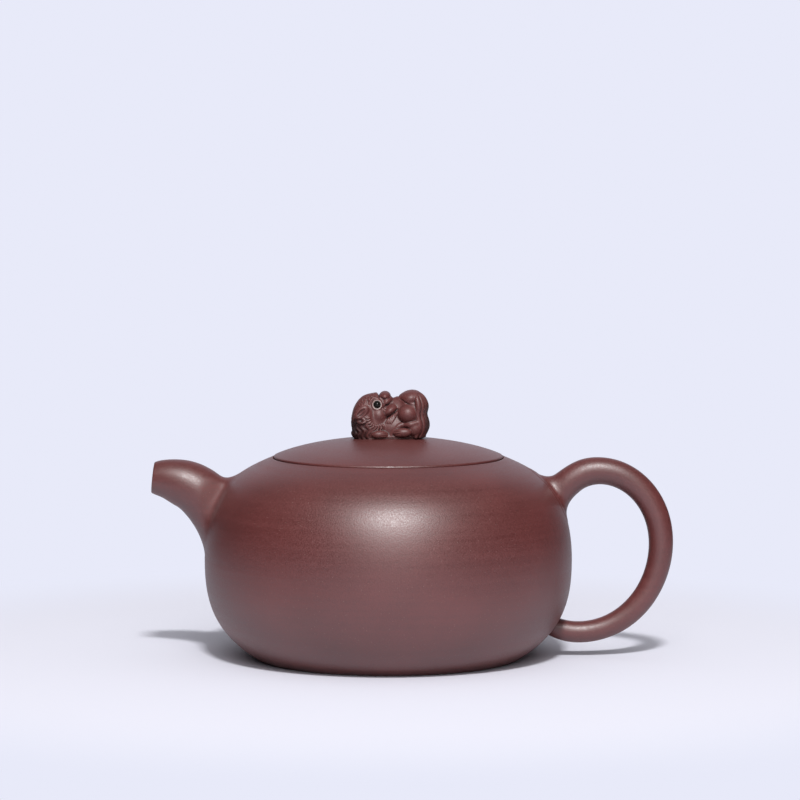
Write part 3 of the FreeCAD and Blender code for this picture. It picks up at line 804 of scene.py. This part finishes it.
def model_brow(clay):
    """The brow over the eye and a row of tight curls above it."""
    brow = [(-5.2, 9.6), (-4.7, 10.6), (-3.8, 11.1), (-2.8, 11.0)]
    clay.draw(brow, (0.25, 0.38, 0.4, 0.25), soft=0.2)
    curls = ((-4.5, 11.75, 0.5), (-5.7, 11.1, 0.55), (-6.8, 10.3, 0.6), (-7.7, 9.2, 0.55))
    turns = np.linspace(*CURL_TURN, CURL_POINTS)
    for x, z, size in curls:
        curl = []
        for turn in turns:
            reach = size * (1 - turn / CURL_CLOSED)
            curl.append((x + reach * math.cos(turn), z + reach * math.sin(turn)))
        clay.draw(curl, np.linspace(*CURL_THICK, CURL_POINTS), soft=0.15)


def model_ear(clay):
    """A drooping leaf of an ear, hollowed, with a rib down its middle and a lock of mane under it."""
    droop = -46.0
    leaf = oval((-7.4, -4.7, 7.2), (1.55, 1.0, 2.55), tilt=droop)
    hollow = oval((-7.45, -5.8, 7.2), (0.95, 0.7, 1.9), tilt=droop)
    rib = [(-6.2, 8.2), (-7.3, 7.2), (-8.5, 6.2)]
    lock = [(-9.2, 5.4), (-8.2, 4.5), (-6.8, 4.5), (-5.6, 5.3)]
    clay.press(leaf, soft=0.12)
    clay.carve(hollow, soft=0.15)
    clay.draw(rib, (0.1, 0.22, 0.1))
    clay.draw(lock, (0.2, 0.34, 0.34, 0.2))


def model_beard(clay):
    """Beard strands under the jaw, from the chin back, and a ruff of short locks round the cheek."""
    chin = np.array(((2.3, 7.0), (1.7, 5.7), (0.8, 4.2)))
    throat = np.array(((0.5, 6.0), (0.0, 5.2), (-0.6, 4.4)))
    lines = [chin + share * (throat - chin) for share in np.linspace(0.0, 1.0, BEARD_STRANDS)]
    for lock in [clay.on_face(line, lift=0.12) for line in lines]:
        clay.press(strand(lock, (0.3, 0.3, 0.14)), soft=0.03)
    reaches_and_sways = ((2.5, 0.0), (3.1, 0.05), (3.9, -0.08))
    for degrees in range(RUFF_FROM, RUFF_TO, RUFF_STEP):
        lock = []
        for reach, sway in reaches_and_sways:
            turn = math.radians(degrees) + sway
            lock.append((CHEEK[0] + reach * math.cos(turn), CHEEK[2] + reach * math.sin(turn)))
        clay.draw(lock, (0.26, 0.28, 0.12), soft=0.1)


def model_tail(clay):
    """The tail's strands, wavy, then leaning in over the rump and gathered at their tips."""
    roots = ((8.3, -4.25), (9.35, -3.3), (10.05, -2.1), (10.4, -0.7))
    heights = (0.5, 3.4, 6.5, 8.9, 11.0, 12.4)
    sways = (-0.6, 0.25, -0.1, 0.05, 0.0, 0.0)
    leans = (0.0, 0.0, 0.0, 0.0, 0.35, 0.8)
    gathers = (1.0, 1.0, 1.0, 1.0, 0.88, 0.6)
    thick = (0.6, 0.95, 0.65, 0.85, 0.7, 0.25)
    for x, y in roots:
        over = TAIL_LEAN * (x - RUMP[0])
        bends = zip(heights, sways, leans, gathers)
        line = [(x + sway - lean * over, gather * y, z) for z, sway, lean, gather in bends]
        clay.press(strand(line, thick), soft=0.1)


def seat(clay):
    """Trims the foot of the knob to the lid's dome, a little under its face."""
    x, y, z = (axis.reshape(shape) for axis, shape in zip(clay.axes, ((-1, 1, 1), (1, -1, 1), (1, 1, -1))))
    clay.skin = np.maximum(clay.skin, lid_face(x, y) - SINK - z)


# Beast knob: its skin

def skinned(clay):
    """The skin of both halves as points and four-sided faces, with a point in each cell that it crosses."""
    skin = np.concatenate([clay.skin, clay.skin[:, ::-1]], axis=1)
    low = np.array([axis[0] for axis in clay.axes])
    inside = skin < 0
    corners = [np.array((i, j, k)) for i in (0, 1) for j in (0, 1) for k in (0, 1)]
    shape = np.array(skin.shape) - 1
    ways = np.eye(3, dtype=int)
    filled = np.zeros(shape, int)
    for corner in corners:
        filled += inside[tuple(slice(c, c + n) for c, n in zip(corner, shape))]
    cells = np.argwhere((filled > 0) & (filled < len(corners)))
    number = np.full(shape, -1)
    number[tuple(cells.T)] = np.arange(len(cells))
    total, hits = np.zeros((len(cells), 3)), np.zeros(len(cells))
    for corner in corners:
        for axis in np.flatnonzero(corner == 0):
            way = ways[axis]
            here, there = skin[tuple((cells + corner).T)], skin[tuple((cells + corner + way).T)]
            cross = (here < 0) != (there < 0)
            share = here[cross] / (here[cross] - there[cross])
            total[cross] += corner + share[:, None] * way
            hits[cross] += 1
    points = low + (cells + total / hits[:, None]) * GRID
    faces = []
    for axis in range(3):
        one, two = ways[(axis + 1) % 3], ways[(axis + 2) % 3]
        ahead = np.take(inside, range(1, inside.shape[axis]), axis)
        behind = np.take(inside, range(inside.shape[axis] - 1), axis)
        for edges, order in ((behind & ~ahead, (0, 1, 2, 3)), (ahead & ~behind, (3, 2, 1, 0))):
            at = np.argwhere(edges)
            ring = np.stack([number[tuple((at - off).T)] for off in (one + two, two, 0 * one, one)], axis=1)
            faces.append(ring[:, order])
    return points, np.concatenate(faces)


def smoothed(points, faces, rounds):
    """Each point moved half way to the middle of its neighbours, so many times."""
    pairs = np.concatenate([faces[:, [k, (k + 1) % 4]] for k in range(4)])
    for _ in range(rounds):
        total, hits = np.zeros_like(points), np.zeros(len(points))
        np.add.at(total, pairs[:, 0], points[pairs[:, 1]])
        np.add.at(hits, pairs[:, 0], 1)
        points = (points + total / hits[:, None]) / 2
    return points


def foot_slip(points):
    """How much each point belongs to the line of slip that joins the knob to the lid."""
    x, y, z = points.T
    return ramp(z - lid_face(x, y), FOOT_SLIP_LIFT) * ramp(x, FOOT_SLIP_X)


def slipped(points):
    """How much pale slip each point carries, round the eyes and along the foot."""
    eye_x, eye_z, radius = eye_place()
    x, y, z = points.T
    eye = ramp(np.hypot(x - eye_x, z - eye_z) / radius, EYE_SLIP) * (np.abs(y) > EYE_SIDE)
    return np.maximum(eye, FOOT_SLIP_COVER * foot_slip(points))


def painted_shade_share(points):
    """How much painted shade lies on each point that carries no slip of the foot."""
    x, _, z = points.T
    mane = MANE_SHADE_COVER * ramp(x, MANE_SHADE_X) + NAPE_SHADE_COVER * ramp(x, NAPE_SHADE_X)
    tail = TAIL_SHADE_COVER * ramp(x, TAIL_SHADE_X) * ramp(z, TAIL_SHADE_Z)
    foot = FOOT_SHADE_COVER * ramp(z, FOOT_SHADE_Z)
    return np.maximum.reduce([mane * ramp(z, MANE_SHADE_Z), tail, foot]) * (1.0 - foot_slip(points))


def model_beast():
    """The knob's figure, in place of the plain forms that carry it."""
    clay = Clay()
    for model in (
        model_body, model_mane, model_hindquarters, model_feet, model_head, model_eye_rim,
        model_brow, model_ear, model_beard, model_tail, seat,
    ):
        model(clay)
    points, faces = skinned(clay)
    points = smoothed(points, faces, SKIN_ROUNDS)
    sunk = smoothed(points, faces, RELIEF_ROUNDS) - points
    mesh = bpy.data.meshes.new("beast")
    mesh.from_pydata((points + (0.0, 0.0, LID_TOP)) * MM, [], faces)
    mesh.polygons.foreach_set("use_smooth", [True] * len(mesh.polygons))
    normals = np.zeros(points.size)
    mesh.vertices.foreach_get("normal", normals)
    height = -(normals.reshape(-1, 3) * sunk).sum(axis=1) / RELIEF_FULL
    carried = {RELIEF: np.clip(height, -1.0, 1.0), PALE_SLIP: slipped(points), PAINTED_SHADE: painted_shade_share(points)}
    for name, values in carried.items():
        mesh.attributes.new(name, "FLOAT", "POINT").data.foreach_set("value", values)
    mesh.materials.append(figure_clay())
    figure = placed("beast", mesh)
    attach(figure, "lid")
    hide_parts(*(name for name, slot in node_slots.items() if slot == "figure_clay"))


# Shoulder

def shoulder_profile():
    """The shoulder slab's closed section, (r, z) in millimetres, from the mouth outwards and back inside."""
    slope = math.radians(SEAM_SLOPE)
    seam, down = np.array(SEAM), np.array((math.cos(slope), -math.sin(slope)))
    inwards = np.array((-math.sin(slope), -math.cos(slope)))
    belly, over_belly = np.array((BELLY_R, BELLY_Z)), np.array((BELLY_R, BELLY_Z + BELLY_LIFT))
    poles = (belly, over_belly, seam + SHOULDER_PULL * down, seam)
    t = np.linspace(0.0, 1.0, SHOULDER_STEPS)[:, None]
    shares = ((1 - t) ** 3, 3 * t * (1 - t) ** 2, 3 * t ** 2 * (1 - t), t ** 3)
    curve = sum(share * pole for share, pole in zip(shares, poles))
    run = np.gradient(curve, axis=0)
    across = np.stack((-run[:, 1], run[:, 0]), axis=1)
    inside = curve + SLAB_THICK * across / np.linalg.norm(run, axis=1)[:, None]
    joint_z = SEAM[1] - SHOULDER_DROP
    edges = (joint_z, joint_z - TUCK_LENGTH)
    joint, tuck = (np.array((np.interp(z, curve[:, 1], curve[:, 0]), z)) for z in edges)
    kept = curve[:, 1] > joint_z
    face = kept & (np.linalg.norm(curve - seam, axis=1) > LIP_ROUND)
    heart = seam + LIP_ROUND * (down + inwards)
    turns = np.linspace(math.pi / 2, 0.0, LIP_STEPS)
    lip = [heart - LIP_ROUND * (inwards * math.cos(a) + down * math.sin(a)) for a in turns]
    land = seam + REBATE_DEPTH * inwards
    mouth = land - (LAND_WIDTH, 0.0)
    under = np.array((mouth[0], inside[-1][1]))
    return [mouth, land, *lip, *curve[face][::-1], joint, tuck - (TUCK_DEPTH, 0.0), *inside[kept], under]


def turn_shoulder():
    """The shoulder slab, turned finely so that light runs evenly up to the seam."""
    profile = shoulder_profile()
    angles = np.linspace(0.0, 2 * math.pi, SHOULDER_SPOKES, endpoint=False)
    points = [(r * math.cos(a) * MM, r * math.sin(a) * MM, z * MM) for a in angles for r, z in profile]
    count, faces = len(profile), []
    for k in range(SHOULDER_SPOKES):
        here, there = k * count, (k + 1) % SHOULDER_SPOKES * count
        for i in range(count):
            after = (i + 1) % count
            faces.append((here + i, here + after, there + after, there + i))
    mesh = bpy.data.meshes.new("shoulder")
    mesh.from_pydata(points, [], faces)
    mesh.polygons.foreach_set("use_smooth", [True] * len(faces))
    mesh.set_sharp_from_angle(angle=math.radians(SHARP_FROM))
    shoulder = placed("shoulder", mesh)
    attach(shoulder, "pot")
    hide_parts("shoulder_disc")
    return mesh


def dress_pot():
    """Clay on the turned and luted pieces of pot and lid, and slip on the eyes."""
    clay, eye = purple_clay(), black_eye_clay()
    for name, slot in node_slots.items():
        if slot != "figure_clay":
            mesh = frame["nodes"][name].data
            mesh.materials.clear()
            mesh.materials.append(eye if slot == "black_eye_clay" else clay)
    turn_shoulder().materials.append(clay)


bpy.context.scene.view_settings.view_transform = "Standard"
place_camera()
hang_lamp("key_lamp", KEY_ELEVATION, KEY_DISTANCE, KEY_SIZE, KEY_POWER)
hang_lamp("diffuser", DIFFUSER_ELEVATION, DIFFUSER_DISTANCE, DIFFUSER_SIZE, DIFFUSER_POWER)
paint_surroundings()
lay_floor()
dress_pot()
model_beast()
